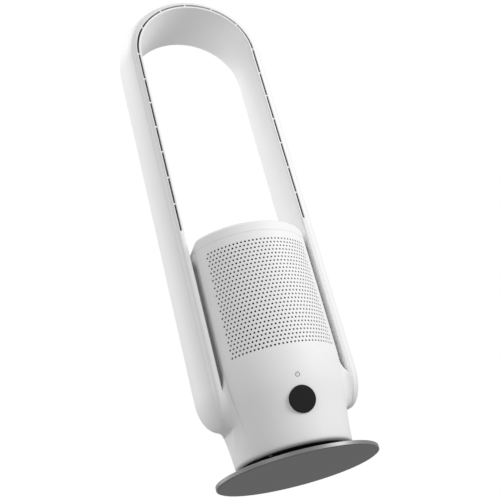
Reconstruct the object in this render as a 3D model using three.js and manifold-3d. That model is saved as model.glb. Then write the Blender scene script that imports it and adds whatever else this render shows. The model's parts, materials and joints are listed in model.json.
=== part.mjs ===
// Bladeless fan: a turning body with an inverted-U air loop, on a round floor plate.
// Millimetres, +Z up, front of the fan at -Y, origin at the centre of the underside.
import * as THREE from "three";
import { mergeVertices } from "three/addons/utils/BufferGeometryUtils.js";
import Module from "manifold-3d";

// ---- Driving dimensions -------------------------------------------------------------------
const PLATE_R = 133.5; // floor plate
const PAD_H = 1;
const PLATE_TOP = 7;
const BODY_R = 114.4; // cylindrical part of the body
const BODY_BOTTOM = 22.4;
const SEAM_Z = 377; // seam between the covers and the top cap
const BODY_TOP = 396.5;
const FLANK_X = 97.8; // flat sides of the body, beside the arms
const SHOULDER = 13; // rounding of the cap above the flat sides
const WALL = 2.6;
const GAP = 0.3; // clearance between neighbouring pieces
const COVER_HALF = 58.7; // half angle of the front and rear covers, degrees

const ARCH_Z = 795.4; // centre of the arch of the loop
const SLOT_R = 112; // the slot line, from the centre plane
const SLOT_W = 3;
const SLOT_END_Z = 420;
const SLOT_PITCH = 53; // on the straight arms
const SLOT_RIB = 2.6;
const ARM_BOTTOM = 79;
const TONGUE_TOP = 142; // where the arm starts to close towards its rounded end
const ARM_MID_Y = 4;
const ARM_ROOT = 108.6; // the arm's end closes towards this distance, its inner wall
const SHELL = 2.4; // wall of the loop

const GRILLE_LOW = 177; // first and last row of holes
const GRILLE_HIGH = 360.5;
const GRILLE_ROWS = 6; // the real covers have 28 rows of 3.6 mm holes, over 50 degrees each way
const GRILLE_COLUMNS = 8;
const GRILLE_STEP = 12; // degrees, the width of one facet of the body
const HOLE_D = 16;

const DUCT = { low: 92, high: 142, half: 24 }; // air duct from body to arm, z range and half width
const CHANNEL = { high: 357, half: 28 }; // recess beside the arms, front and rear
const WEB_BOTTOM = 77; // the flanks reach out to the arms from here up

const DIAL_D = 44;
const DIAL_DEPTH = 8;
const DIAL_Z = 86.6; // centre of its front face
const DIAL_TILT = 11; // its axis follows the slope of the body, degrees
const KEY_Z = 125;

const SWING_GEAR = { module: 3, fixed: 24, pinion: 6 }; // teeth
const SWING_CENTRES = (SWING_GEAR.module * (SWING_GEAR.fixed + SWING_GEAR.pinion)) / 2;
const BLADES = 7;
const BODY_FACETS = 30; // round the body
const ARCH_FACETS = 16;

const rad = THREE.MathUtils.degToRad;

// ---- Materials ----------------------------------------------------------------------------
const material = (color, roughness, metalness = 0) =>
  new THREE.MeshStandardMaterial({ color, roughness, metalness });
const WHITE = material(0xf0f0ee, 0.45);
const WHITE_FRAME = material(0xd9dad8, 0.55);
const STEEL_PLATE = material(0xa9abad, 0.3, 1);
const STEEL = material(0xb9bbbd, 0.35, 1);
const BLACK = material(0x1c1c1d, 0.5);
const DARK_MESH = material(0x2c2d2e, 0.8);
const RUBBER = material(0x303132, 0.9);
const BOARD = material(0x2f5d3a, 0.6);
const GEAR_PLASTIC = material(0xe6e3d8, 0.5);

// ---- Solids -------------------------------------------------------------------------------
const wasm = await Module();
wasm.setup();

// A three.js geometry as a solid that can be added, cut and intersected.
function solid(geometry) {
  const bare = geometry.index ? geometry.toNonIndexed() : geometry.clone();
  bare.deleteAttribute("normal");
  bare.deleteAttribute("uv");
  const merged = mergeVertices(bare, 1e-4);
  const made = new wasm.Manifold(
    new wasm.Mesh({
      numProp: 3,
      vertProperties: new Float32Array(merged.attributes.position.array),
      triVerts: new Uint32Array(merged.index.array),
    }),
  );
  if (made.volume() > 0) return made;
  const flipped = Uint32Array.from(merged.index.array);
  for (let i = 0; i < flipped.length; i += 3)
    [flipped[i + 1], flipped[i + 2]] = [flipped[i + 2], flipped[i + 1]];
  return new wasm.Manifold(
    new wasm.Mesh({
      numProp: 3,
      vertProperties: new Float32Array(merged.attributes.position.array),
      triVerts: flipped,
    }),
  );
}

function geometryOf(made) {
  const mesh = made.getMesh();
  const geometry = new THREE.BufferGeometry();
  geometry.setAttribute("position", new THREE.BufferAttribute(mesh.vertProperties, 3));
  geometry.setIndex(new THREE.BufferAttribute(mesh.triVerts, 1));
  geometry.computeVertexNormals();
  return geometry;
}

// Profile points are [radius, height]; the profile starts and ends on the axis or is closed.
function revolve(points, segments = 28) {
  const profile = points.map(([r, z]) => new THREE.Vector2(r, z));
  return solid(new THREE.LatheGeometry(profile, segments).rotateX(Math.PI / 2));
}

function ring(inner, outer, low, high, segments = 28) {
  return revolve(
    [[inner, low], [outer, low], [outer, high], [inner, high], [inner, low]],
    segments,
  );
}

function rod(radius, low, high, segments = 16) {
  return solid(
    new THREE.CylinderGeometry(radius, radius, high - low, segments)
      .rotateX(Math.PI / 2)
      .translate(0, 0, (low + high) / 2),
  );
}

function block(x0, x1, y0, y1, z0, z1) {
  return solid(
    new THREE.BoxGeometry(x1 - x0, y1 - y0, z1 - z0).translate(
      (x0 + x1) / 2,
      (y0 + y1) / 2,
      (z0 + z1) / 2,
    ),
  );
}

// A plan outline, an array of [x, y], pushed up from low to high.
function prism(outline, low, high) {
  const shape = new THREE.Shape(outline.map(([x, y]) => new THREE.Vector2(x, y)));
  const geometry = new THREE.ExtrudeGeometry(shape, { depth: high - low, bevelEnabled: false });
  return solid(geometry.translate(0, 0, low));
}

const sum = (parts) => parts.reduce((a, b) => a.add(b));
const mirrored = (made) => made.mirror([1, 0, 0]);

// A pie slice round Z, centred on an azimuth, for cutting shells into covers and flanks.
function wedge(centre, half, low, high) {
  const reach = 400;
  const corner = (a) => [reach * Math.cos(rad(a)), reach * Math.sin(rad(a))];
  return prism([[0, 0], corner(centre - half), corner(centre), corner(centre + half)], low, high);
}

// A screw standing on Z, its head's underside at the origin: shank down, recess in the head.
function screw(head, shank, length) {
  const body = revolve(
    [[0, -length], [shank, -length], [shank, 0], [head, 0], [head, head * 0.6], [0, head * 0.6]],
    6,
  );
  return body.subtract(block(-head * 0.5, head * 0.5, -0.5, 0.5, head * 0.3, head));
}

// ---- The loop -----------------------------------------------------------------------------
// Its section in plan: [distance from the centre plane, y]. A blunt nose in front carries the
// slot between two lips, the outer wall is an arc, the inner wall is almost flat.
const OUTER_ARC = { x: 48, y: -1.3, r: 90.5, from: -33.5, to: 42.2, steps: 6 };

function arcPoints({ x, y, r, from, to, steps }, shrink = 0) {
  return Array.from({ length: steps + 1 }, (_, i) => {
    const a = rad(from + ((to - from) * i) / steps);
    return [x + (r - shrink) * Math.cos(a), y + (r - shrink) * Math.sin(a)];
  });
}

const loopSection = [
  [106.3, -53.4], [107.9, -56.3], [110.2, -57], [113.8, -57], [115.6, -56.1], [117.8, -53.2],
  ...arcPoints(OUTER_ARC),
  [113.7, 61], [111.7, 60.4],
];
const loopHollow = [
  [108.8, -51.6], [109.6, -53.2], [114.6, -53.2], [117.6, -50.4],
  ...arcPoints({ ...OUTER_ARC, from: -30, to: 40, steps: 3 }, SHELL),
  [113.4, 57.2],
];

// Stations go up the left arm, over the arch and down the right arm.
function loopStations(bottom) {
  const round = [1, 0.87, 0.6, 0.3]; // how far down the rounded end each station is
  const arm = round.map((s) => ({ s: s * 0.985, z: TONGUE_TOP - s * 0.985 * (TONGUE_TOP - bottom) }));
  arm.push({ s: 0, z: TONGUE_TOP });
  const stations = arm.map(({ s, z }) => ({ side: -1, z, s }));
  const turns = ARCH_FACETS;
  for (let i = 0; i <= turns; i++) stations.push({ angle: -90 + (180 * i) / turns });
  return stations.concat(arm.reverse().map(({ s, z }) => ({ side: 1, z, s })));
}

function loopPoint(station, [r, y]) {
  if (station.angle !== undefined) {
    const a = rad(station.angle);
    return [r * Math.sin(a), y, ARCH_Z + r * Math.cos(a)];
  }
  const f = Math.sqrt(1 - station.s ** 2);
  return [station.side * (ARM_ROOT + (r - ARM_ROOT) * f), ARM_MID_Y + (y - ARM_MID_Y) * f, station.z];
}

function sweepLoop(section, stations) {
  const n = section.length;
  const positions = stations.flatMap((station) => section.flatMap((p) => loopPoint(station, p)));
  const index = [];
  for (let i = 0; i + 1 < stations.length; i++)
    for (let j = 0; j < n; j++) {
      const [a, b] = [i * n + j, i * n + ((j + 1) % n)];
      index.push(a, b, a + n, b, b + n, a + n);
    }
  const cap = THREE.ShapeUtils.triangulateShape(
    section.map(([x, y]) => new THREE.Vector2(x, y)),
    [],
  );
  const last = (stations.length - 1) * n;
  for (const [a, b, c] of cap) index.push(a, c, b, last + a, last + b, last + c);
  const geometry = new THREE.BufferGeometry();
  geometry.setAttribute("position", new THREE.Float32BufferAttribute(positions, 3));
  geometry.setIndex(index);
  return solid(geometry);
}

// A band of the loop between two distances from the centre plane, ending at a height.
function loopBand(from, to, front, rear, low) {
  const straight = (side) => ({ side, z: low, s: 0 });
  const arch = Array.from({ length: ARCH_FACETS + 1 }, (_, i) => ({ angle: -90 + (180 * i) / ARCH_FACETS }));
  return sweepLoop(
    [[from, front], [to, front], [to, rear], [from, rear]],
    [straight(-1), ...arch, straight(1)],
  );
}

// Ribs bridge the slot: angles on the arch, then heights down each arm.
const ARCH_RIBS = [-90, -56.85, -26.84, 0, 26.84, 56.85, 90];
const ARM_RIBS = Array.from({ length: 6 }, (_, i) => SLOT_END_Z + SLOT_PITCH * (i + 1));

function slotRibs() {
  const from = SLOT_R - SLOT_W / 2 - 1.2;
  const to = SLOT_R + SLOT_W / 2 - 0.8;
  const onArch = ARCH_RIBS.map((angle) =>
    block(from, to, -56.6, -53.2, -SLOT_RIB / 2, SLOT_RIB / 2)
      .rotate([0, angle - 90, 0])
      .translate([0, 0, ARCH_Z]),
  );
  const onArms = ARM_RIBS.flatMap((z) => {
    const rib = block(from, to, -56.6, -53.2, z - SLOT_RIB / 2, z + SLOT_RIB / 2);
    return [rib, mirrored(rib)];
  });
  return sum([...onArch, ...onArms]);
}

function loopShells() {
  const shell = sweepLoop(loopSection, loopStations(ARM_BOTTOM)).subtract(
    sweepLoop(loopHollow, loopStations(ARM_BOTTOM + 3)),
  );
  const seam = 113.4;
  const inside = loopBand(90, seam - GAP / 2, -80, 80, 60);
  const inner = loopBand(90, seam + GAP / 2, -80, 80, 60);
  const slot = loopBand(SLOT_R - SLOT_W / 2, seam + 1, -70, -50, SLOT_END_Z);
  const port = block(100, 116, -DUCT.half, DUCT.half, DUCT.low, DUCT.high);
  const holes = sum(ARM_SCREWS.map(([y, z]) => armHole(y, z, 2.2)));
  return {
    outer: shell.subtract(inner),
    band: shell
      .intersect(inside)
      .subtract(slot)
      .add(slotRibs())
      .subtract(port)
      .subtract(mirrored(port))
      .subtract(holes)
      .subtract(mirrored(holes)),
  };
}

// Screws go from inside the body, through the flank, into the arm's inner wall.
const ARM_SCREWS = [[-12, 330], [12, 176]];
const SEAT = 3; // from a screw's seat in the flank to the arm
const armHole = (y, z, radius) => rod(radius, 80, 118, 6).rotate([0, 90, 0]).translate([0, y, z]);

// ---- The body -----------------------------------------------------------------------------
// Half profile of the covers, from the rounded bottom edge up to the seam.
const bodyCurve = new THREE.CatmullRomCurve3(
  [[96.6, 27], [99.4, 58], [104.7, 90], [110.4, 118], [113.3, 146], [BODY_R, 172]].map(
    ([r, z]) => new THREE.Vector3(r, 0, z),
  ),
);

function bodyProfile(inset) {
  const side = bodyCurve.getPoints(4).map((p) => [p.x - inset, p.z]);
  const bottom = BODY_BOTTOM + inset;
  return [
    [0, bottom],
    [88 - inset, bottom],
    [93.4 - inset, bottom + 1],
    ...side,
    [BODY_R - inset, SEAM_Z],
    [0, SEAM_Z],
  ];
}

function bodyRadius(z) {
  const points = bodyCurve.getPoints(60);
  const above = points.findIndex((p) => p.z >= z);
  if (above < 0) return BODY_R;
  const [a, b] = [points[Math.max(above - 1, 0)], points[above]];
  return b.z === a.z ? b.x : a.x + ((b.x - a.x) * (z - a.z)) / (b.z - a.z);
}

const bodySolid = revolve(bodyProfile(0), BODY_FACETS);
const bodyHollow = revolve(bodyProfile(WALL), BODY_FACETS).add(
  rod(BODY_R - WALL, 200, SEAM_Z + 1, BODY_FACETS),
);
const bodyShell = bodySolid.subtract(bodyHollow).subtract(rod(86, 0, 40, BODY_FACETS));

// Holes through a cover that faces -Y, one per facet in each row.
function grilleHoles() {
  const rowPitch = (GRILLE_HIGH - GRILLE_LOW) / (GRILLE_ROWS - 1);
  const cutter = solid(
    new THREE.CylinderGeometry(HOLE_D / 2, HOLE_D / 2, 12, 4).translate(0, -BODY_R, 0),
  );
  const holes = [];
  for (let row = 0; row < GRILLE_ROWS; row++)
    for (let column = 0; column < GRILLE_COLUMNS; column++) {
      const turn = GRILLE_STEP * (column - GRILLE_COLUMNS / 2 + 0.5);
      holes.push(cutter.rotate([0, 0, turn]).translate([0, 0, GRILLE_LOW + rowPitch * row]));
    }
  return wasm.Manifold.compose(holes);
}

function cover() {
  return bodyShell.intersect(wedge(-90, COVER_HALF, 0, 500)).subtract(grilleHoles());
}

// Along -Y, tilted like the dial: turns a piece made on Z, front up, to its place on the cover.
function onDial(made) {
  return made.rotate([90 + DIAL_TILT, 0, 0]).translate([0, -107.2, DIAL_Z]);
}

function frontCover() {
  const dialHole = onDial(rod(DIAL_D / 2 + 0.6, -30, 10, 24));
  const keyHole = rod(4.6, 90, 130, 20).rotate([90, 0, 0]).translate([0, 0, KEY_Z]);
  return cover().subtract(dialHole).subtract(keyHole);
}

const INLET = { z: 44, half: 13, height: 9, pins: 4.3, round: 4.2 };

function rearCover() {
  const socket = block(-INLET.half, INLET.half, 80, 120, INLET.z - INLET.height, INLET.z + INLET.height);
  return cover().rotate([0, 0, 180]).subtract(socket);
}

// A solid between two heights that joins the corner points found there.
function slab(corners, low, high) {
  const at = (z) => corners(z).map(([x, y]) => [x, y, z]);
  return wasm.Manifold.hull([...at(low), ...at(high)]);
}

// Corners of a flank in plan: a cover's edge, then the arm's inner wall, front to rear.
function flankCorners(z) {
  const f = Math.sqrt(1 - Math.min(0.985, Math.max(0, (TONGUE_TOP - z) / (TONGUE_TOP - ARM_BOTTOM))) ** 2);
  const r = bodyRadius(z) - GAP;
  const edge = rad(89.6 - COVER_HALF);
  const [x, y] = [Math.min(r * Math.cos(edge), FLANK_X), r * Math.sin(edge)];
  const wall = (wallX, wallY) => [
    ARM_ROOT + (wallX - ARM_ROOT) * f - 2 * GAP,
    ARM_MID_Y + (wallY - ARM_MID_Y) * f,
  ];
  return [[x, -y], wall(106.3, -53.4), wall(111.2, 59.5), [x, y]];
}

// The recess beside an arm; its lower end runs down from the cover to the arm.
function channel(side) {
  const [deep, out] = [side * CHANNEL.half, side * 100];
  return wasm.Manifold.hull([
    [FLANK_X, deep, 172], [116, deep, 150], [FLANK_X, out, 160], [116, out, 108],
    [FLANK_X, deep, CHANNEL.high], [116, deep, CHANNEL.high],
    [FLANK_X, out, CHANNEL.high], [116, out, CHANNEL.high],
  ]);
}

// A flank: skin between the covers, with the web to the arm and its air duct.
function flank() {
  const hollow = bodyHollow.intersect(block(0, FLANK_X - WALL, -200, 200, 0, 500));
  const skin = bodySolid
    .intersect(block(0, FLANK_X, -200, 200, 0, 500))
    .subtract(rod(86, 0, 40, BODY_FACETS))
    .intersect(wedge(0, 90 - COVER_HALF - 0.3, 0, 500));
  const levels = [WEB_BOTTOM, 83, 93, 111, TONGUE_TOP, 172, 376.5];
  const web = sum(levels.slice(1).map((high, i) => slab(flankCorners, levels[i], high)));
  const slope = prism([[0, 0], [200, 0], [200, 338], [FLANK_X - WALL, 376.5], [0, 376.5]], -100, 100)
    .rotate([90, 0, 0]);
  const pocketEnd = CHANNEL.half - 6;
  const pocket = slab(
    () => [[60, -pocketEnd], [armWall(-pocketEnd) - SEAT, -pocketEnd],
      [armWall(pocketEnd) - SEAT, pocketEnd], [60, pocketEnd]],
    160,
    345,
  );
  const duct = block(60, 130, -DUCT.half, DUCT.half, DUCT.low, DUCT.high);
  return skin
    .add(web.intersect(slope))
    .subtract(hollow)
    .subtract(channel(1))
    .subtract(channel(-1))
    .subtract(pocket)
    .subtract(duct)
    .subtract(sum(ARM_SCREWS.map(([y, z]) => armHole(y, z, 2.2))));
}

// Distance from the centre plane at which a flank stops short of the arm's inner wall.
const armWall = (y) => 106.3 + (4.9 * (y + 53.4)) / 113.8 - GAP;

// The cap: a flat lid with a rounded edge, flat beside the arms, with a larger rounding there.
function capBody(inset) {
  const round = 6;
  const r = BODY_R - inset;
  const top = BODY_TOP - inset;
  const edge = Array.from({ length: 3 }, (_, i) => {
    const a = rad(45 * i);
    return [r - round + round * Math.cos(a), top - round + round * Math.sin(a)];
  });
  const low = SEAM_Z + 0.8 - (inset ? 1 : 0);
  const lid = revolve([[0, low], [r, low], ...edge, [0, top]], BODY_FACETS);
  const sides = block(-FLANK_X + inset, FLANK_X - inset, -200, 200, 0, 500);
  const bend = SHOULDER - inset;
  const shoulder = (side) => {
    const middle = side * (FLANK_X - SHOULDER);
    const reach = side > 0 ? [middle, 200] : [-200, middle];
    return block(reach[0], reach[1], -200, 200, BODY_TOP - SHOULDER, 500).subtract(
      rod(bend, -130, 130, 16).rotate([90, 0, 0]).translate([middle, 0, BODY_TOP - SHOULDER]),
    );
  };
  return lid.intersect(sides).subtract(shoulder(1)).subtract(shoulder(-1));
}

function topCap() {
  const bosses = sum(CAP_SCREWS.map(([x, y]) => rod(4, SEAM_Z - 3, BODY_TOP - 1, 6).translate([x, y, 0])));
  const bores = sum(CAP_SCREWS.map(([x, y]) => rod(2.2, 300, SEAM_Z + 12, 4).translate([x, y, 0])));
  return capBody(0).subtract(capBody(WALL)).add(bosses.intersect(capBody(0).add(rod(100, 370, 380)))).subtract(bores);
}

const CAP_SCREWS = [45, 135, 225, 315].map((a) => [92 * Math.cos(rad(a)), 92 * Math.sin(rad(a))]);

function upperRing() {
  const holes = sum(CAP_SCREWS.map(([x, y]) => rod(2.4, 300, 400, 4).translate([x, y, 0])));
  const flat = block(-FLANK_X + WALL + 1, FLANK_X - WALL - 1, -200, 200, 0, 500);
  return ring(82, BODY_R - WALL - 0.5, 367, 372, BODY_FACETS)
    .intersect(flat)
    .subtract(holes);
}

// A dark mesh sheet that stands behind each cover's holes.
function dustScreen() {
  return ring(BODY_R - WALL - 1.7, BODY_R - WALL - 0.7, 168, 366, BODY_FACETS).intersect(
    wedge(-90, COVER_HALF - 3, 0, 500),
  );
}

// ---- Base and bearing ---------------------------------------------------------------------
function basePlate() {
  const r = PLATE_R;
  const [low, high] = [PAD_H, PLATE_TOP];
  return revolve(
    [[7, low], [r, low], [r, high - 0.8], [r - 0.8, high], [7, high], [7, low]],
    48,
  ).subtract(sum(PIVOT_SCREWS.map(([x, y]) => rod(2.2, 0, 20, 6).translate([x, y, 0]))));
}

const basePad = () => rod(PLATE_R - 2, 0, PAD_H, 32);
const baseCollar = () =>
  revolve(
    [[68, PLATE_TOP], [74, PLATE_TOP], [74, 19.5], [73, 20.5], [68, 20.5], [68, PLATE_TOP]],
    24,
  );

const PIVOT_SCREWS = [45, 135, 225, 315].map((a) => [38 * Math.cos(rad(a)), 38 * Math.sin(rad(a))]);

function pivotColumn() {
  const z = PLATE_TOP;
  return revolve(
    [[7, z], [46, z], [46, z + 2.4], [20, z + 2.4], [20, 29.4], [14, 29.4], [14, 51.5], [7, 51.5], [7, z]],
    16,
  ).subtract(sum(PIVOT_SCREWS.map(([x, y]) => rod(2.2, 0, 20, 6).translate([x, y, 0]))));
}

// A straight-flanked tooth: distance from the pitch circle in modules, and place in the pitch.
const TOOTH = [[-1.2, -0.31], [0.9, -0.11], [0.9, 0.11], [-1.2, 0.31]];

// A spur gear with its first tooth towards +X.
function spurGear(teeth, bore, low, high) {
  const m = SWING_GEAR.module;
  const pitch = (m * teeth) / 2;
  const outline = [];
  for (let i = 0; i < teeth; i++)
    for (const [r, share] of TOOTH.map(([out, half]) => [pitch + out * m, half])) {
      const a = ((i + share) * 2 * Math.PI) / teeth;
      outline.push([r * Math.cos(a), r * Math.sin(a)]);
    }
  return prism(outline, low, high).subtract(rod(bore, low - 1, high + 1, 16));
}

const pivotGear = () =>
  spurGear(SWING_GEAR.fixed, 14.3, 31, 38.5);

// The pinion's tooth gap faces the fixed gear.
const swingPinion = () =>
  spurGear(SWING_GEAR.pinion, 2.6, 30.6, 37.4).rotate([0, 0, 180 / SWING_GEAR.pinion + 180]);

function ballCage() {
  const balls = Array.from({ length: 6 }, (_, i) => {
    const a = (2 * Math.PI * i) / 6;
    return solid(new THREE.OctahedronGeometry(3, 0)).translate([58 * Math.cos(a), 58 * Math.sin(a), 13.6]);
  });
  return ring(56.5, 59.5, 12.8, 14.4, 12).add(sum(balls));
}

const race = (low, high) => ring(52, 64, low, high, 16);

function bottomCover() {
  const screws = sum(FLOOR_SCREWS.map(([x, y]) => rod(2.2, 0, 40, 6).translate([x, y, 0])));
  return revolve(
    [[23.4, 20.4], [66, 20.4], [66, 22.6], [85, 22.6], [85, 25.6], [27, 25.6], [27, 29],
      [23.4, 29], [23.4, 20.4]],
    16,
  ).subtract(screws);
}

// Screws from below hold the posts of the motor plate.
const FLOOR_SCREWS = [45, 135, 225, 315].map((a) => [79 * Math.cos(rad(a)), 79 * Math.sin(rad(a))]);
const pivotBushing = () =>
  revolve(
    [[20.4, 19.6], [26, 19.6], [26, 20.2], [23, 20.2], [23, 29], [20.4, 29], [20.4, 19.6]],
    24,
  );

// ---- Oscillation drive and blower -----------------------------------------------------------
const AT_PINION = [SWING_CENTRES, 0, 0];

function swingBracket() {
  const plate = block(24, 72, -34, 34, 39.4, 41.4);
  const legs = [[68, 30], [68, -30], [28, 31], [28, -31]].map(([x, y]) =>
    rod(3, 25.8, 40, 6).translate([x, y, 0]),
  );
  return plate.add(sum(legs)).subtract(rod(6, 30, 50, 12).translate(AT_PINION));
}

function swingMotor() {
  const can = revolve([[0, 41.7], [23, 41.7], [24, 42.7], [24, 61], [0, 61]], 16);
  return can.add(rod(2.4, 29.6, 42, 8)).add(block(-30, 30, -5, 5, 41.7, 43.2)).translate(AT_PINION);
}

function motorPlate() {
  const arms = sum([45, 135, 225, 315].map((a) => block(0, 79, -4, 4, 66, 69).rotate([0, 0, a])));
  const posts = sum(FLOOR_SCREWS.map(([x, y]) => rod(4, 25.9, 79.7, 6).translate([x, y, 0])));
  const bores = sum(FLOOR_SCREWS.map(([x, y]) => rod(2.6, 20, 34, 4).translate([x, y, 0])));
  return rod(40, 66, 69, 16).add(arms).add(posts).subtract(rod(16, 60, 70, 8)).subtract(bores);
}

const MOUNTS = [60, 180, 300].map((a) => [30 * Math.cos(rad(a)), 30 * Math.sin(rad(a))]);
const rubberMount = () =>
  revolve([[0, 69.3], [5, 69.3], [5, 71], [3.6, 72], [3.6, 73.4], [5, 74.4], [5, 76], [0, 76]], 6);

function fanMotor() {
  return revolve(
    [[0, 76.3], [35, 76.3], [35, 100], [32, 103], [12, 103], [12, 106], [5.4, 106], [5.4, 98], [0, 98]],
    16,
  );
}

const motorShaft = () => revolve([[0, 98.4], [5, 98.4], [5, 110], [4, 110.5], [4, 153], [0, 153]], 8);

// Mixed-flow impeller: curved blades between a hub cone and a ring, cut by a turned envelope.
function impeller() {
  const hub = revolve(
    [[4.5, 111], [66, 111], [66, 113.4], [40, 117], [20, 130], [12, 146], [4.5, 146], [4.5, 111]],
    16,
  );
  const envelope = revolve([[9, 112], [66, 112], [66, 128], [58, 140], [52, 154], [9, 142], [9, 112]], 16);
  const blade = bladeOutline();
  const blades = sum(
    Array.from({ length: BLADES }, (_, i) => prism(blade, 111.5, 156).rotate([0, 0, (360 * i) / BLADES])),
  ).intersect(envelope);
  const shroud = revolve(
    [[64.5, 126], [68, 126], [60, 139.6], [54, 156], [52, 156], [57.6, 139.6], [64.5, 126]],
    16,
  );
  return hub.add(blades).add(shroud);
}

// A backward-curved blade in plan: a band of even thickness along an arc.
function bladeOutline() {
  const thickness = 1.6;
  const centre = [14, 46];
  const radius = 48.2;
  const side = (r, from, to) =>
    Array.from({ length: 3 }, (_, i) => {
      const a = rad(from + ((to - from) * i) / 2);
      return [centre[0] + r * Math.cos(a), centre[1] + r * Math.sin(a)];
    });
  return [...side(radius, -88, -6), ...side(radius - thickness, -6, -88)];
}

const impellerNut = () =>
  solid(new THREE.CylinderGeometry(7, 7, 5, 6).rotateX(Math.PI / 2).translate(0, 0, 149)).subtract(
    rod(4.5, 140, 160, 8),
  );

// Housing round the impeller, open below for the motor's air and on both sides to the ducts.
function airDistributor() {
  const shell = revolve(
    [[37, 80], [80, 80], [90, 88], [90, 146], [80, 154], [72, 154], [72, 151.6], [79, 151.6], [87.6, 145],
      [87.6, 89], [79, 82.4], [37, 82.4], [37, 80]],
    16,
  );
  const mouth = (side) => block(side > 0 ? 60 : -96, side > 0 ? 96 : -60, -DUCT.half, DUCT.half, 93, 141);
  const lip = block(80, 94.8, -DUCT.half - 2, DUCT.half + 2, 91, 143).subtract(rod(86, 0, 300, 16));
  return shell.add(lip).add(mirrored(lip)).subtract(mouth(1)).subtract(mouth(-1));
}

const inletBellmouth = () =>
  revolve(
    [[71.6, 154.4], [71.6, 157], [62, 157], [56.5, 160], [55, 166], [52.6, 166], [54, 157], [60, 154.4], [71.6, 154.4]],
    14,
  );

// ---- Controls and electrics ---------------------------------------------------------------
function controlDial() {
  const r = DIAL_D / 2;
  return onDial(
    revolve([[0, -DIAL_DEPTH], [r, -DIAL_DEPTH], [r, -0.7], [r - 0.7, 0], [0, 0]], 24),
  );
}

const dialEncoder = () =>
  onDial(
    block(-8, 8, -8, 8, -DIAL_DEPTH - 4.6, -DIAL_DEPTH - 1)
      .add(rod(3.6, -DIAL_DEPTH - 2, -DIAL_DEPTH - 0.3, 8)),
  );
const controlBoard = () =>
  onDial(block(-30, 30, -24, 44, -DIAL_DEPTH - 6.5, -DIAL_DEPTH - 4.9));
const touchKey = () => {
  const front = bodyRadius(KEY_Z);
  return rod(4.3, front - 7.5, front - 0.15, 20).rotate([90, 0, 0]).translate([0, 0, KEY_Z]);
};

function mainBoard() {
  const board = block(-78, -40, -30, 30, 44, 45.6);
  const parts = [
    block(-74, -56, -24, -6, 45, 58), block(-72, -52, 4, 24, 45, 52),
    rod(7, 45, 60, 8).translate([-48, -8, 0]), rod(5, 45, 56, 8).translate([-46, 14, 0]),
  ];
  const posts = [[-74, 26], [-74, -26], [-44, 26], [-44, -26]].map(([x, y]) =>
    rod(2.4, 25.8, 45, 6).translate([x, y, 0]),
  );
  return board.add(sum([...parts, ...posts]));
}

function powerInlet() {
  const back = bodyRadius(INLET.z);
  const [w, h] = [INLET.half - 0.4, INLET.height - 0.4];
  const body = block(-w, w, 76, back - 0.6, INLET.z - h, INLET.z + h);
  const round = rod(INLET.round, 82, 130, 12).rotate([-90, 0, 0]);
  const recess = [-INLET.pins, INLET.pins]
    .map((x) => round.translate([x, 0, INLET.z]))
    .concat(block(-INLET.pins, INLET.pins, 82, 130, INLET.z - INLET.round, INLET.z + INLET.round));
  const pins = [-INLET.pins, INLET.pins].map((x) =>
    rod(1.2, 80, back - 3, 6).rotate([-90, 0, 0]).translate([x, 0, INLET.z]),
  );
  return body.subtract(sum(recess)).add(sum(pins));
}

// ---- Assembly -----------------------------------------------------------------------------
const fan = new THREE.Group();
const body = new THREE.Group(); // everything that swings with the body
fan.add(body);

function piece(name, made, finish, parent = body) {
  const mesh = new THREE.Mesh(geometryOf(made), finish);
  mesh.name = name;
  parent.add(mesh);
  return mesh;
}

piece("base_pad", basePad(), RUBBER, fan);
piece("base_plate", basePlate(), STEEL_PLATE, fan);
piece("base_collar", baseCollar(), BLACK, fan);
piece("pivot_column", pivotColumn(), BLACK, fan);
piece("pivot_gear", pivotGear(), GEAR_PLASTIC, fan);
piece("pivot_retainer", ring(14.3, 17, 38.8, 40.4, 16), STEEL, fan);
piece("lower_race", race(PLATE_TOP, 10.6), STEEL, fan);
PIVOT_SCREWS.forEach(([x, y], i) => {
  piece(`pivot_screw_${i + 1}`, screw(4, 1.6, 8), STEEL, fan).position.set(x, y, 9.5);
});
piece("ball_cage", ballCage(), STEEL, fan);

piece("upper_race", race(16.6, 20), STEEL);
piece("bottom_cover", bottomCover(), BLACK);
piece("pivot_bushing", pivotBushing(), GEAR_PLASTIC);
FLOOR_SCREWS.forEach(([x, y], i) => {
  piece(`floor_screw_${i + 1}`, screw(4, 1.6, 10).rotate([180, 0, 0]), STEEL).position.set(x, y, 22.5);
});
piece("swing_bracket", swingBracket(), STEEL);
piece("swing_motor", swingMotor(), STEEL);
piece("swing_pinion", swingPinion(), GEAR_PLASTIC).position.set(...AT_PINION);

piece("front_cover", frontCover(), WHITE);
piece("rear_cover", rearCover(), WHITE);
piece("front_dust_screen", dustScreen(), DARK_MESH);
piece("rear_dust_screen", dustScreen().rotate([0, 0, 180]), DARK_MESH);
piece("right_side_panel", flank(), WHITE);
piece("left_side_panel", mirrored(flank()), WHITE);
piece("upper_ring", upperRing(), WHITE_FRAME);
piece("top_cap", topCap(), WHITE);
CAP_SCREWS.forEach(([x, y], i) => {
  piece(`cap_screw_${i + 1}`, screw(3.6, 1.5, 12).rotate([180, 0, 0]), STEEL).position.set(x, y, 366.8);
});

const loop = loopShells();
piece("loop_outer_shell", loop.outer, WHITE);
piece("loop_inner_band", loop.band, WHITE);
for (const side of [-1, 1])
  ARM_SCREWS.forEach(([y, z], i) => {
    const made = screw(4, 1.6, 8).rotate([0, -90, 0]).translate([armWall(y) - SEAT - GAP, y, z]);
    piece(`${side < 0 ? "left" : "right"}_arm_screw_${i + 1}`, side < 0 ? mirrored(made) : made, STEEL);
  });

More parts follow.
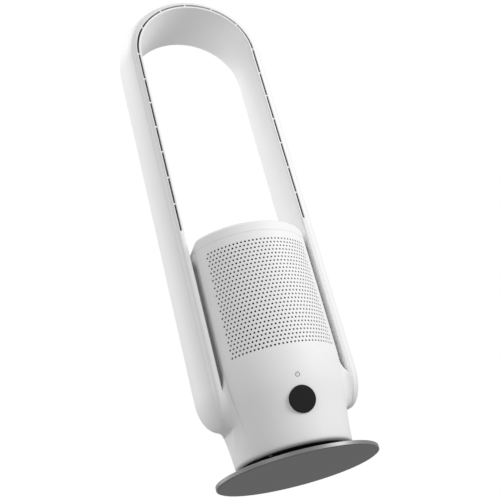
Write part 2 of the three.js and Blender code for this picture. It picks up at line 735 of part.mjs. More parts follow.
piece("motor_plate", motorPlate(), STEEL);
MOUNTS.forEach(([x, y], i) => {
  piece(`rubber_mount_${i + 1}`, rubberMount(), RUBBER).position.set(x, y, 0);
});
piece("fan_motor", fanMotor(), STEEL);
piece("motor_shaft", motorShaft(), STEEL);
piece("impeller", impeller(), GEAR_PLASTIC);
piece("impeller_nut", impellerNut(), STEEL);
piece("air_distributor", airDistributor(), WHITE_FRAME);
piece("inlet_bellmouth", inletBellmouth(), WHITE_FRAME);

piece("control_dial", controlDial(), BLACK);
piece("dial_encoder", dialEncoder(), STEEL);
piece("control_board", controlBoard(), BOARD);
piece("touch_key", touchKey(), WHITE);
piece("main_board", mainBoard(), BOARD);
piece("power_inlet", powerInlet(), BLACK);

export default fan;
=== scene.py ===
"""Dresses a bladeless fan: covers, air loop, plate, dial and their finishes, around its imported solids.

The frame is that of the solids: +Z up, the front at -Y, the origin at the centre of the underside.
Shapes are worked out in millimetres and make_object turns them into metres. Angles round the body
are counted from the front, towards the right.
"""

import json
import math

import bmesh
import bpy
import numpy as np
from bpy.props import FloatProperty, FloatVectorProperty, IntProperty, PointerProperty
from mathutils import Matrix, Vector
from mathutils.geometry import delaunay_2d_cdt


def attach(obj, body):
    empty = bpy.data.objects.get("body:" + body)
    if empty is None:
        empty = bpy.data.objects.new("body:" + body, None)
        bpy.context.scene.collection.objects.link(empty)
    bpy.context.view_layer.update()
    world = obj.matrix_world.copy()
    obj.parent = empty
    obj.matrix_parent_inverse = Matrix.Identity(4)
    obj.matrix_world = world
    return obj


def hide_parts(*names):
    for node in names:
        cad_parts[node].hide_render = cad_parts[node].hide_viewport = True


bl_info = {
    "name": "Bladeless Fan",
    "version": (1, 0, 0),
    "blender": (4, 5, 0),
    "location": "3D View > Sidebar > Fan",
    "description": "Builds the outside of a standing bladeless fan and its finishes",
    "category": "Add Mesh",
}

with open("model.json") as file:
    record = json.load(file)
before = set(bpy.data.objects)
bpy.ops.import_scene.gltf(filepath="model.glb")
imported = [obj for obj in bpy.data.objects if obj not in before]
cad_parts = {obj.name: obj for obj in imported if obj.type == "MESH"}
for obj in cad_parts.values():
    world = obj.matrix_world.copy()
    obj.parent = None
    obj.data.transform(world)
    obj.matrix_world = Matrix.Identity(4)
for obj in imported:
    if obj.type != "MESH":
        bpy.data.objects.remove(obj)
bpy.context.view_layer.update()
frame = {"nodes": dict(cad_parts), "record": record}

MM = 0.001
SWING = "swing_body"
BASE = "base"
DIAL = "dial"
IMAGE_WIDTH = 500  # pixels

# ---- Settings a user would change -----------------------------------------------------------


def length(name, default_mm, description):
    """A length in millimetres, shown in the scene's unit."""
    return FloatProperty(
        name=name, description=description, default=default_mm * MM, unit="LENGTH", min=0.0
    )


def colour(name, default, description):
    return FloatVectorProperty(
        name=name, description=description, default=default, size=3, subtype="COLOR", min=0, max=1
    )


class FanBodySettings(bpy.types.PropertyGroup):
    """Sizes of the turning body and its perforated covers."""

    radius: length("Radius", 114.4, "Radius of the cylindrical part of the body")
    wall: length("Wall", 2.6, "Thickness of the covers")
    cover_half: FloatProperty(
        name="Cover half angle",
        description="Angle from the middle of a cover to its upright edge",
        default=math.radians(59.08),
        subtype="ANGLE",
    )
    hole_diameter: length("Hole diameter", 3.6, "Diameter of an air hole in the covers")
    hole_rows: IntProperty(name="Rows", description="Rows of air holes", default=28, min=2)
    holes_in_row: IntProperty(
        name="Holes in a row", description="Air holes in the longer rows", default=30, min=2
    )
    hole_step: FloatProperty(
        name="Hole step",
        description="Angle between two holes of a row",
        default=math.radians(3.32),
        subtype="ANGLE",
    )
    edge_rounding: length("Edge rounding", 0.8, "Rounding of the covers' edges")


class FanLoopSettings(bpy.types.PropertyGroup):
    """Sizes of the air loop."""

    arch_height: length("Arch height", 795.4, "Height of the centre of the arch")
    slot_width: length("Slot width", 3.5, "Width of the air slot")
    slot_end: length("Slot end", 420.0, "Height at which the air slot ends")
    rib_width: length("Rib width", 2.6, "Width of the ribs across the slot")
    rib_pitch: length("Rib pitch", 53.0, "Distance between ribs on the straight arms")


class FanControlSettings(bpy.types.PropertyGroup):
    """Sizes of the dial and the key."""

    dial_diameter: length("Dial diameter", 42.0, "Diameter of the dial")
    dial_tilt: FloatProperty(
        name="Dial tilt",
        description="Angle by which the dial looks down",
        default=math.radians(11),
        subtype="ANGLE",
    )
    key_height: length("Key height", 125.0, "Height of the key's centre")
    symbol_diameter: length("Symbol diameter", 7.8, "Diameter of the sign on the key")
    symbol_lean: FloatProperty(
        name="Symbol lean",
        description="Angle by which the sign leans to the left",
        default=math.radians(28),
        subtype="ANGLE",
    )


class FanFinishSettings(bpy.types.PropertyGroup):
    """Colours of the fan."""

    white: colour("White", (0.80, 0.80, 0.80), "Moulded white shells")
    plate: colour("Plate", (0.26, 0.26, 0.265), "Painted floor plate")
    underside: colour("Underside", (0.215, 0.215, 0.22), "Pad under the floor plate")
    dial: colour("Dial", (0.01, 0.01, 0.0105), "Black dial")
    screen: colour("Screen", (0.035, 0.035, 0.036), "Dust screens behind the holes")


class FanStageSettings(bpy.types.PropertyGroup):
    """Light and camera."""

    key_power: FloatProperty(name="Key", description="Power of the lamp at the right", default=33.5)
    fill_power: FloatProperty(name="Fill", description="Power of the lamp at the left", default=5.1)
    side_power: FloatProperty(name="Side", description="Power of the lamp beside the fan", default=3.7)
    rear_power: FloatProperty(name="Rear", description="Power of the lamp behind it", default=9.8)
    high_power: FloatProperty(name="High", description="Power of the lamp above it", default=19.5)
    ambient: FloatProperty(name="Ambient", description="Strength of the surrounding light", default=0.49)
    focal_pixels: FloatProperty(
        name="Focal length", description="Focal length in pixels of the picture", default=906.44
    )


SETTINGS = {
    "fan_body": FanBodySettings,
    "fan_loop": FanLoopSettings,
    "fan_controls": FanControlSettings,
    "fan_finish": FanFinishSettings,
    "fan_stage": FanStageSettings,
}

# ---- Fixed sizes, in millimetres --------------------------------------------------------------

SEAM = 377.0
BODY_TOP = 396.5
SHOULDER = 13.0  # rounding of the cap above the flat sides
CAP_CORNER = 4.0  # rounding in plan between the round and the flat sides
CAP_EDGE = 6.0  # rounding of the cap's edge in front and behind
CAP_ROWS = [0, 0.07, 0.28, 0.65, 1.1, 1.7, 2.4, 3.2, 4.1, 5.0, 6.0, 7, 8, 9.5, 11, 12.5, 14, 20, 40, 70]
INNER_WALL = 2.6  # thickness of the cap and of the flanks
FLANK_X = 97.8  # flat sides of the body, beside the arms
FLANK_EDGE = 59.15  # degrees from the front to a flank's upright edge
FLANK_INNER_R = 112  # largest radius of a flank's inner face
CURVE_LOW = 27.6  # where the rounding of the bottom edge ends
BODY_CURVE = [(CURVE_LOW, 96.6), (58, 99.4), (90, 104.7), (118, 110.2), (146, 113.3), (172, 114.4)]
BEND_POINTS = 12  # points on that rounding
BOTTOM_ROUND = 5.2
SEAM_ROUNDING = 0.25
BOTTOM_INNER = 86.2
GRILLE_LOW, GRILLE_HIGH = 177.2, 360.5
GRILLE_ASIDE, GRILLE_UP = 3.2, 3.4  # from the outer holes to the plain part of the sheet
DIAL_CENTRE = (0.0, -107.2, 86.6)
DIAL_DEPTH = 8.0
DIAL_GAP = 0.3
DIAL_ROUNDING = 0.7  # of the dial's edge and of the edge of its hole
KEY_HOLE_R = 4.45
KEY_RADII = [0.01, 1.1, 2.2, 3.3, 4.2, 4.38]  # rings of the key's face
KEY_DROP, KEY_DEPTH = 0.12, 3.2
INLET_HALF, INLET_RISE, INLET_Z = 13.0, 9.0, 44.0  # half its width and height, and its centre
INLET_ROUND = 2.5
DIAL_RING, KEY_RING, INLET_RING = 10**6, 10**6 + 1, 10**6 + 2  # numbers past those of the air holes
SCREEN_LOW, SCREEN_HIGH, SCREEN_HALF = 168, 366, 55  # heights, and half its angle in degrees
SCREEN_OUTER, SCREEN_INNER = 109.9, 109.2
ARM_BOTTOM, TONGUE_TOP = 82.5, 142.0
TIP_SHARE = 0.9999  # how nearly an arm closes at its end
ARM_ROOT = 108.6
ARM_MID_Y = 4.0
ARM_TIP_Y = -15.0  # the arms close towards their front edge
OUTER_ARC = {"x": 48.0, "y": -1.3, "r": 90.5}
LOOP_WALL = 2.4
LOOP_SEAM = 113.4
LIP_Y = -57.0  # front of the loop
ARCH_RIBS = (0, 26.84, 56.85, 90)  # degrees from the top of the arch
ARM_RIBS = 6  # on each arm
RIB_FRONT, RIB_BACK, RIB_INSIDE = -56.45, -53.2, 109.4
SIGN_LINE = 0.85  # width of the sign's lines
WEB_BOTTOM = 84.5
WEB_CHAMFER = 4.0  # slope under the web
WEB_SAG = 1.2  # how hollow the web is between the body and the arm
CHANNEL_TOP = 372.0
CHANNEL_FADE = 22.0  # height over which the top end blends out
CREST_CLOSED = 0.68  # how far the recess has closed at its top end
CHANNEL_Y = 28.0
RAMP_LOW = 140.0  # where the recess starts, beside the cover
RAMP_SLANT = 14.0  # and how much lower it starts beside the arm
RAMP_LENGTH = 34.0
WEB_LIPS = {-1: ((109.4, LIP_Y), (106.25, -53.6)), 1: ((111.3, 60.2), (111.25, 58.0))}
ARM_SLOPE = 0.0475  # how the arm's inner wall leans outwards to the rear
ARM_MIDDLE_X = 109.0
CREST_LOW, CREST_TOP = 366, 376.5  # upper end of a flank
CREST_SLOPE, CREST_EDGE = 0.37, 95.2  # how much it drops outwards, and from where
FLANK_ROWS = ((WEB_BOTTOM, 122, 24), (123.5, 179, 40), (190, 338, 8), (341, CREST_LOW, 26))
PLATE_R, PLATE_LOW, PLATE_TOP = 133.5, 1.0, 7.0

# ---- Stage ------------------------------------------------------------------------------------

LAMPS = {"key": (45, 12), "fill": (-45, 12), "side": (-105, 12), "rear": (-135, 12), "high": (-120, 55)}
LAMP_DISTANCE, LAMP_SIZE, LAMP_AIM = 2.2, 1.0, 0.45  # metres; they aim at that height on the axis
CAMERA_PLACE = (-488.0, -1375.3, -256.5)
CAMERA_FORWARD = (0.316, 0.857, 0.407)
CAMERA_ROLL = -15.16  # degrees
SENSOR_WIDTH = 36

# ---- Meshes -----------------------------------------------------------------------------------


def make_object(name, points_mm, faces, normals=None, sharp=35):
    """A mesh object from points in millimetres. normals gives one vector per face corner."""
    mesh = bpy.data.meshes.new(name)
    points = np.asarray(points_mm, float) * MM
    mesh.from_pydata([tuple(p) for p in points], [], [tuple(map(int, f)) for f in faces])
    mesh.validate()
    mesh.polygons.foreach_set("use_smooth", [True] * len(mesh.polygons))
    if normals is None:
        mesh.set_sharp_from_angle(angle=math.radians(sharp))
    else:
        mesh.normals_split_custom_set([tuple(n) for n in normals])
    mesh.update()
    obj = bpy.data.objects.new(name, mesh)
    bpy.context.scene.collection.objects.link(obj)
    return obj


def weigh_normals(obj):
    """Keeps flat faces flat beside small roundings."""
    modifier = obj.modifiers.new("flat faces", "WEIGHTED_NORMAL")
    modifier.keep_sharp = True
    modifier.weight = 80


def settle(obj, body, slot, *nodes, look=None):
    """Gives a piece its finish, its body and the solids that it stands for."""
    obj.data.materials.clear()
    obj.data.materials.append(FINISHES[look or slot])
    if nodes:
        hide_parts(*nodes)
    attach(obj, body)
    return obj


def join(name, objects):
    """Several objects as one."""
    points, faces, offset = [], [], 0
    for obj in objects:
        points += [obj.matrix_world @ v.co / MM for v in obj.data.vertices]
        faces += [[i + offset for i in p.vertices] for p in obj.data.polygons]
        offset += len(obj.data.vertices)
    for obj in objects:
        bpy.data.objects.remove(obj)
    return make_object(name, points, faces)


def fillet(corners, steps=5):
    """A polyline whose corners, (x, y, radius), are rounded. Radius 0 keeps the corner."""
    out = []
    n = len(corners)
    for i, (x, y, radius) in enumerate(corners):
        here = np.array([x, y], float)
        before = np.array(corners[i - 1][:2], float)
        after = np.array(corners[(i + 1) % n][:2], float)
        if radius <= 0:
            out.append(tuple(here))
            continue
        a, b = before - here, after - here
        reach_a, reach_b = np.linalg.norm(a), np.linalg.norm(b)
        a, b = a / reach_a, b / reach_b
        half = math.acos(np.clip(a @ b, -1, 1)) / 2
        cut = min(radius / math.tan(half), 0.49 * reach_a, 0.49 * reach_b)
        centre = here + (a + b) / np.linalg.norm(a + b) * math.hypot(cut, cut * math.tan(half))
        start, end = here + a * cut - centre, here + b * cut - centre
        turn = math.atan2(start[0] * end[1] - start[1] * end[0], start @ end)
        for k in range(steps + 1):
            t = turn * k / steps
            out.append(
                (
                    centre[0] + start[0] * math.cos(t) - start[1] * math.sin(t),
                    centre[1] + start[0] * math.sin(t) + start[1] * math.cos(t),
                )
            )
    return out


def turned(name, profile, segments=128, centre_closed=False):
    """A ring or disc round Z from (radius, height) points; a closed profile unless it ends on the axis."""
    n = len(profile)
    points, faces = [], []
    for k in range(segments):
        a = 2 * math.pi * k / segments
        points += [(r * math.sin(a), -r * math.cos(a), z) for r, z in profile]
    spans = n - 1 if centre_closed else n
    for k in range(segments):
        here, there = k * n, ((k + 1) % segments) * n
        for j in range(spans):
            faces.append((here + j, there + j, there + (j + 1) % n, here + (j + 1) % n))
    if centre_closed:
        faces.append([k * n for k in range(segments)][::-1])
        faces.append([k * n + n - 1 for k in range(segments)])
    obj = make_object(name, points, faces)
    weigh_normals(obj)
    return obj


def tube(name, rings):
    """A closed body through rings of points that all have the same count, capped at both ends."""
    n = len(rings[0])
    points = [p for ring in rings for p in ring]
    faces = []
    for i in range(len(rings) - 1):
        for j in range(n):
            k = (j + 1) % n
            faces.append((i * n + j, i * n + k, (i + 1) * n + k, (i + 1) * n + j))
    faces.append(list(range(n))[::-1])
    last = (len(rings) - 1) * n
    faces.append([last + j for j in range(n)])
    return make_object(name, points, faces)


def smoothstep(x):
    x = np.clip(x, 0.0, 1.0)
    return x * x * (3 - 2 * x)


# ---- The surface of the body --------------------------------------------------------------------


def spline(knots, end_slope, samples=160):
    """A smooth curve (z, radius) through the knots, with a given slope at its top end."""
    z, r = (np.array(v, float) for v in zip(*knots))
    h = np.diff(z)
    n = len(z)
    rows, right = np.zeros((n, n)), np.zeros(n)
    rows[0, 0] = 1
    for i in range(1, n - 1):
        rows[i, i - 1 : i + 2] = h[i - 1], 2 * (h[i - 1] + h[i]), h[i]
        right[i] = 3 * ((r[i + 1] - r[i]) / h[i] - (r[i] - r[i - 1]) / h[i - 1])
    rows[-1, -2:] = h[-1], 2 * h[-1]
    right[-1] = 3 * (end_slope - (r[-1] - r[-2]) / h[-1])
    c = np.linalg.solve(rows, right)
    b = (r[1:] - r[:-1]) / h - h * (2 * c[:-1] + c[1:]) / 3
    d = (c[1:] - c[:-1]) / (3 * h)
    at = np.linspace(z[0], z[-1], samples)
    i = np.clip(np.searchsorted(z, at) - 1, 0, n - 2)
    t = at - z[i]
    return at, r[i] + b[i] * t + c[i] * t**2 + d[i] * t**3


class BodySurface:
    """The outer face of the covers: an arc length along the half profile gives radius and height."""

    def __init__(self):
        low = BODY_CURVE[0]
        curve_z, curve_r = spline(BODY_CURVE, 0.0)
        turn = np.radians(np.linspace(0, 90, BEND_POINTS))
        bend_r = low[1] - BOTTOM_ROUND + BOTTOM_ROUND * np.sin(turn)
        bend_z = low[0] - BOTTOM_ROUND * np.cos(turn)
        self.r = np.concatenate([[BOTTOM_INNER], bend_r, curve_r[1:], [curve_r[-1]]])
        self.z = np.concatenate([[bend_z[0]], bend_z, curve_z[1:], [SEAM]])
        step = np.hypot(np.diff(self.r), np.diff(self.z))
        self.v = np.concatenate([[0], np.cumsum(step)])
        tangent_r, tangent_z = np.gradient(self.r, self.v), np.gradient(self.z, self.v)
        size = np.hypot(tangent_r, tangent_z)
        self.normal_r, self.normal_z = tangent_z / size, -tangent_r / size
        self.end = self.v[-1]

    def arc_at(self, z):
        """Arc length at a height above the bottom rounding."""
        return np.interp(z, self.z[BEND_POINTS:], self.v[BEND_POINTS:])

    def radius(self, z):
        return np.interp(z, self.z[BEND_POINTS:], self.r[BEND_POINTS:])

    def place(self, angle, v, inset=0.0):
        """Points and normals at angles and arc lengths, moved inwards by inset."""
        r, z = np.interp(v, self.v, self.r), np.interp(v, self.v, self.z)
        nr, nz = np.interp(v, self.v, self.normal_r), np.interp(v, self.v, self.normal_z)
        r, z = r - inset * nr, z - inset * nz
        sine, cosine = np.sin(angle), np.cos(angle)
        points = np.stack([r * sine, -r * cosine, z], -1)
        normals = np.stack([nr * sine, -nr * cosine, nz], -1)
        return points, normals


SURFACE = BodySurface()


def grid_points(low_s, high_s, low_v, high_v, pitch, rounding):
    """Interior points of a sheet, with close rows along its border for the rounded edge."""
    near = [share * rounding for share in (0.12, 0.4, 1.0)]

    def stops(low, high):
        inner = np.arange(low + 4, high - 4 + 1e-6, pitch)
        return np.concatenate([[low + d for d in near], inner, [high - d for d in near[::-1]]])

    return [(s, v) for s in stops(low_s, high_s) for v in stops(low_v, high_v)], stops


def cover_holes(body):
    """Centres of the air holes, (arc across, arc up), both in millimetres."""
    radius = body.radius / MM
    centres = []
    for row in range(body.hole_rows):
        z = GRILLE_LOW + (GRILLE_HIGH - GRILLE_LOW) * row / (body.hole_rows - 1)
        count = body.holes_in_row - row % 2
        for k in range(count):
            angle = body.hole_step * (k - (count - 1) / 2)
            centres.append((angle * radius, float(SURFACE.arc_at(z))))
    return centres


def dial_outline(controls, radius, count):
    """The dial's hole on the body's surface: a circle round the dial's axis, as (arc across, arc up)."""
    tilt = controls.dial_tilt
    centre = np.array(DIAL_CENTRE)
    axis = np.array([0, -math.cos(tilt), -math.sin(tilt)])
    up = np.array([0, -math.sin(tilt), math.cos(tilt)])
    across = np.array([1.0, 0, 0])
    scale = bpy.context.scene.fan_body.radius / MM
    out = []
    for k in range(count):
        a = 2 * math.pi * k / count
        start = centre + radius * (math.cos(a) * across + math.sin(a) * up)
        low, high = -30.0, 15.0
        for _ in range(40):
            mid = (low + high) / 2
            p = start + mid * axis
            inside = math.hypot(p[0], p[1]) < SURFACE.radius(p[2])
            low, high = (mid, high) if inside else (low, mid)
        p = start + low * axis
        out.append((math.atan2(p[0], -p[1]) * scale, float(SURFACE.arc_at(p[2]))))
    return out


def key_outline(controls, radius, count):
    """A circle round the key's axis on the body's surface."""
    scale = bpy.context.scene.fan_body.radius / MM
    z0 = controls.key_height / MM
    out = []
    for k in range(count):
        a = 2 * math.pi * k / count
        x, z = radius * math.cos(a), z0 + radius * math.sin(a)
        out.append((math.asin(x / SURFACE.radius(z)) * scale, float(SURFACE.arc_at(z))))
    return out


class Sheet:
    """A sheet of the body's surface with holes, made into a shell with rounded edges."""

    def __init__(self, half_arc, low, high):
        self.low_s, self.high_s, self.low_v, self.high_v = -half_arc, half_arc, low, high
        self.points, self.edges, self.loop_of = [], [], []

    def add(self, points, loop=-1, closed=False):
        """Adds points; a closed line bounds the hole whose number is loop, or the sheet for -1."""
        first = len(self.points)
        self.points += [(float(a), float(b)) for a, b in points]
        self.loop_of += [loop] * len(points)
        if closed:
            n = len(points)
            self.edges += [(first + i, first + (i + 1) % n) for i in range(n)]

    def triangles(self):
        """The flat sheet's points and triangles, without those that fill a hole."""
        made = delaunay_2d_cdt([Vector(p) for p in self.points], self.edges, [], 1, 1e-7)
        points, faces, origin = made[0], made[2], made[3]
        loops = np.array([self.loop_of[o[0]] if o else -1 for o in origin])
        faces = np.array([f for f in faces if len(f) == 3])
        a, b, c = (loops[faces[:, i]] for i in range(3))
        faces = faces[~((a >= 0) & (a == b) & (b == c))]
        return np.array([tuple(p) for p in points]), faces


def border(sheet, pitch, rounding):
    """The sheet's outline and the rows beside it; the same stops on all rows keep the strips even."""
    inner, stops = grid_points(
        sheet.low_s, sheet.high_s, sheet.low_v, sheet.high_v, pitch, rounding
    )
    across = [sheet.low_s, *stops(sheet.low_s, sheet.high_s), sheet.high_s]
    along = [sheet.low_v, *stops(sheet.low_v, sheet.high_v), sheet.high_v]
    outline = (
        [(s, sheet.low_v) for s in across[:-1]]
        + [(sheet.high_s, v) for v in along[:-1]]
        + [(s, sheet.high_v) for s in across[:0:-1]]
        + [(sheet.low_s, v) for v in along[:0:-1]]
    )
    sheet.add(outline, -1, True)
    return inner


def shell_from(name, sheet, body, rounding, circles, facing=0.0):
    """Outer face, inner face and walls. circles are rounded holes: (outline points, radius)."""
    flat, faces = sheet.triangles()
    radius, wall = body.radius / MM, body.wall / MM
    s, v = flat[:, 0], flat[:, 1]
    gaps = np.stack([s - sheet.low_s, sheet.high_s - s, v - sheet.low_v, sheet.high_v - v])
    toward = np.array([[-1, 0], [1, 0], [0, -1], [0, 1]], float)
    z_here = np.interp(v, SURFACE.v, SURFACE.z)
    limit = rounding * np.clip(0.25 + (z_here - 60) / 60, 0.25, 1)
    inset, lean = np.zeros(len(s)), np.zeros((len(s), 2))
    for i, reach in enumerate((limit, limit, limit, np.full(len(s), SEAM_ROUNDING))):
        t = np.clip(1 - gaps[i] / reach, 0, 1)
        drop = reach * (1 - np.sqrt(1 - t**2))
        inset += drop
        lean += toward[i] * t[:, None]
    for outline, edge in circles:
        ring = np.array(outline)
        distance = np.sqrt(((flat[:, None, :] - ring[None, :, :]) ** 2).sum(-1))
        nearest, gap = distance.argmin(1), distance.min(1)
        t = np.clip(1 - gap / edge, 0, 1)
        inset += edge * (1 - np.sqrt(1 - t**2))
        away = ring.mean(0) - ring[nearest]
        lean += away / np.linalg.norm(away, axis=1)[:, None] * t[:, None]
    angle = s / radius + facing
    outer, normal = SURFACE.place(angle, v, np.minimum(inset, wall * 0.45))
    inner, _ = SURFACE.place(angle, v, wall)
    east = np.stack([np.cos(angle), np.sin(angle), 0 * angle], -1)
    north = np.cross(normal, east) * -1
    north = np.where(north[:, 2:3] < 0, -north, north)
    size = np.linalg.norm(lean, axis=1)
    lean = np.where(size[:, None] > 1, lean / np.maximum(size, 1e-9)[:, None], lean)
    size = np.minimum(size, 1)
    out_normal = (
        normal * np.sqrt(1 - size**2)[:, None] + east * lean[:, :1] + north * lean[:, 1:]
    )
    n = len(s)
    points = np.concatenate([outer, inner])
    edge_count = {}
    for a, b, c in faces:
        for p, q in ((a, b), (b, c), (c, a)):
            edge_count[(p, q)] = edge_count.get((p, q), 0) + 1
    walls = [(p, q) for (p, q) in edge_count if (q, p) not in edge_count]
    all_faces = [tuple(f) for f in faces]
    loops = [out_normal[i] for f in faces for i in f]
    all_faces += [(c + n, b + n, a + n) for a, b, c in faces]
    loops += [-normal[i] for a, b, c in faces for i in (c, b, a)]
    for p, q in walls:
        all_faces.append((q, p, p + n, q + n))
        side = np.cross(points[p] - points[q], points[p + n] - points[p])
        side = side / max(np.linalg.norm(side), 1e-12)
        loops += [side] * 4
    return make_object(name, points, all_faces, loops)


def build_cover(name, facing, with_controls, with_inlet):
    """A perforated cover facing the front, or turned round to the rear."""
    scene = bpy.context.scene
    body, controls = scene.fan_body, scene.fan_controls
    scale = body.radius / MM
    rounding = body.edge_rounding / MM
    sheet = Sheet(body.cover_half * scale, 0.0, SURFACE.end - 0.05)
    inner = border(sheet, 4.2, rounding)
    holes = cover_holes(body)
    hole_r = body.hole_diameter / MM / 2
    low_v = SURFACE.arc_at(GRILLE_LOW) - GRILLE_UP
    high_v = SURFACE.arc_at(GRILLE_HIGH) + GRILLE_UP
    half_grille = max(abs(s) for s, _ in holes) + GRILLE_ASIDE
    kept = [(s, v) for s, v in inner if not (abs(s) < half_grille and low_v < v < high_v)]
    circles = []
    if with_controls:
        dial_r = controls.dial_diameter / MM / 2 + DIAL_GAP
        centre_v = float(SURFACE.arc_at(DIAL_CENTRE[2]))
        key_v = float(SURFACE.arc_at(controls.key_height / MM))
        kept = [
            (s, v)
            for s, v in kept
            if math.hypot(s * 0.93, v - centre_v) > dial_r + 3 and math.hypot(s, v - key_v) > 7
        ]
        outline = dial_outline(controls, dial_r, 96)
        circles.append((outline, DIAL_ROUNDING))
        for extra in (0.08, 0.3, 0.7, 1.8):
            sheet.add(dial_outline(controls, dial_r + extra, 96))
        sheet.add(outline, DIAL_RING, True)
        sheet.add(key_outline(controls, KEY_HOLE_R + 1.2, 32))
        sheet.add(key_outline(controls, KEY_HOLE_R, 32), KEY_RING, True)
    if with_inlet:
        low = float(SURFACE.arc_at(INLET_Z - INLET_RISE))
        high = float(SURFACE.arc_at(INLET_Z + INLET_RISE))
        reach = INLET_HALF * scale / SURFACE.radius(INLET_Z)
        kept = [
            (s, v) for s, v in kept if not (abs(s) < reach + 2.5 and low - 2.5 < v < high + 2.5)
        ]
        ends = ((-reach, low), (reach, low), (reach, high), (-reach, high))
        sheet.add(fillet([(s, v, INLET_ROUND) for s, v in ends]), INLET_RING, True)
    sheet.add(kept)
    for index, (s, v) in enumerate(holes):
        ring = [
            (s + hole_r * math.cos(a), v + hole_r * math.sin(a))
            for a in np.arange(12) * math.pi / 6 + math.pi / 12
        ]
        sheet.add(ring, index, True)
    return shell_from(name, sheet, body, rounding, circles, facing)


# ---- The flanks: skin, and the web that carries an arm, with its two recesses ---------------------


def arm_factor(z):
    """How far an arm's section has closed towards its rounded lower end, 1 for fully open."""
    share = np.clip((TONGUE_TOP - z) / (TONGUE_TOP - ARM_BOTTOM), 0.0, TIP_SHARE)
    return float(np.sqrt(1 - share**2))


def arm_wall(z, x, y, gap=0.1):
    """A point of the arm's section, carried along its closing end, just short of the arm."""
    f = arm_factor(z)
    return np.array([ARM_ROOT + (x - ARM_ROOT) * f - gap, ARM_TIP_Y + (y - ARM_TIP_Y) * f])


def resample(points, count):
    """Points evenly spaced along a polyline."""
    points = np.asarray(points, float)
    run = np.concatenate([[0], np.cumsum(np.linalg.norm(np.diff(points, axis=0), axis=1))])
    at = np.linspace(0, run[-1], count)
    return np.stack([np.interp(at, run, points[:, i]) for i in range(2)], -1)


def flank_half(z, side_y, lip, edge_angle, web):
    """Section of one half of a flank, from the cover's edge to the middle of the arm, front or rear."""
    bend = slice(1, BEND_POINTS + 1)
    r = float(SURFACE.radius(z) if z > CURVE_LOW else np.interp(z, SURFACE.z[bend], SURFACE.r[bend]))
    edge = np.array([min(r * math.sin(edge_angle), FLANK_X), side_y * r * math.cos(edge_angle)])
    if not web:
        angles = np.linspace(edge_angle, math.pi / 2, 30)
        return np.array(
            [(min(r * math.sin(a), FLANK_X), side_y * r * math.cos(a)) for a in angles]
        )
    near, corner = arm_wall(z, *lip[0], gap=0.0), arm_wall(z, *lip[1])
    deep_y = side_y * CHANNEL_Y
    wall_x = lip[1][0] + ARM_SLOPE * (deep_y - lip[1][1])
    deep = arm_wall(z, wall_x, deep_y)
    middle = arm_wall(z, ARM_MIDDLE_X, ARM_MID_Y)
    across = np.linspace(0, 1, 16)[:, None]
    hollow = np.array([0, -side_y * WEB_SAG]) * np.sin(math.pi * across)
    front = edge + (near - edge) * across + hollow
    flush = np.concatenate(
        [front, resample([near, corner, deep], 9)[1:], resample([deep, middle], 7)[1:]]
    )
    foot = np.array([FLANK_X, deep_y])
    turn = fillet([(edge[0], edge[1], 0), (foot[0], foot[1], 3.0), (deep[0], deep[1], 0)], 6)
    recess_a = resample([edge, turn[1]], 16)
    recess_b = resample(turn[1:-1] + [tuple(deep)], 9)
    recessed = np.concatenate([recess_a, recess_b[1:], resample([deep, middle], 7)[1:]])
    low = RAMP_LOW - RAMP_SLANT * np.concatenate([across[:, 0], np.ones(14)])
    closed = smoothstep((z - CHANNEL_TOP + CHANNEL_FADE) / CHANNEL_FADE)
    opened = smoothstep((z - low) / RAMP_LENGTH) * (1 - CREST_CLOSED * closed)
    return flush + (recessed - flush) * opened[:, None]


def build_flank(name, side):
    """One flank, side -1 left or +1 right."""
    edge_angle = math.radians(FLANK_EDGE)

    def section(z, web):
        front = flank_half(z, -1, WEB_LIPS[-1], edge_angle, web)
        rear = flank_half(z, 1, WEB_LIPS[1], edge_angle, web)
        return np.concatenate([front, rear[::-1]])

    turn = np.radians(np.linspace(0, 90, 7))
    plain = [CURVE_LOW - BOTTOM_ROUND * math.cos(a) for a in turn]
    plain += list(np.linspace(31, WEB_BOTTOM - WEB_CHAMFER, 12))
    rings = [[(x, y, z) for x, y in section(z, False)] for z in plain]
    for row in FLANK_ROWS:
        rings += [[(x, y, z) for x, y in section(z, True)] for z in np.linspace(*row)]
    crest = section(CREST_LOW, True)
    for share in (0.5, 1.0):
        ring = []
        for x, y in crest:
            rise = CREST_TOP - CREST_LOW - CREST_SLOPE * max(x - CREST_EDGE, 0)
            ring.append((x, y, CREST_LOW + share * rise))
        rings.append(ring)
    n, rows = len(rings[0]), len(rings)
    angles = np.linspace(edge_angle, math.pi - edge_angle, n)
    inner = []
    for ring in rings:
        outer_r = float(np.interp(ring[0][2], SURFACE.z[1:], SURFACE.r[1:]))
        r = min(outer_r - INNER_WALL, FLANK_INNER_R)
        flat = FLANK_X - INNER_WALL
        inner.append(
            [(min(r * math.sin(a), flat), -r * math.cos(a), p[2]) for a, p in zip(angles, ring)]
        )
    points = [p for ring in rings + inner for p in ring]
    faces = []
    shift = rows * n
    for i in range(rows - 1):
        for j in range(n - 1):
            a, b, c, d = i * n + j, i * n + j + 1, (i + 1) * n + j + 1, (i + 1) * n + j
            faces += [(a, b, c, d), (d + shift, c + shift, b + shift, a + shift)]
        for j in (0, n - 1):
            a, d = i * n + j, (i + 1) * n + j
            quad = (a, d, d + shift, a + shift)
            faces.append(quad if j == 0 else quad[::-1])
    for i in (0, rows - 1):
        for j in range(n - 1):
            a, b = i * n + j, i * n + j + 1
            quad = (b, a, a + shift, b + shift)
            faces.append(quad if i == 0 else quad[::-1])
    if side < 0:
        points = [(-x, y, z) for x, y, z in points]
        faces = [f[::-1] for f in faces]
    return make_object(name, points, faces, sharp=38)


# ---- The top cap ----------------------------------------------------------------------------------


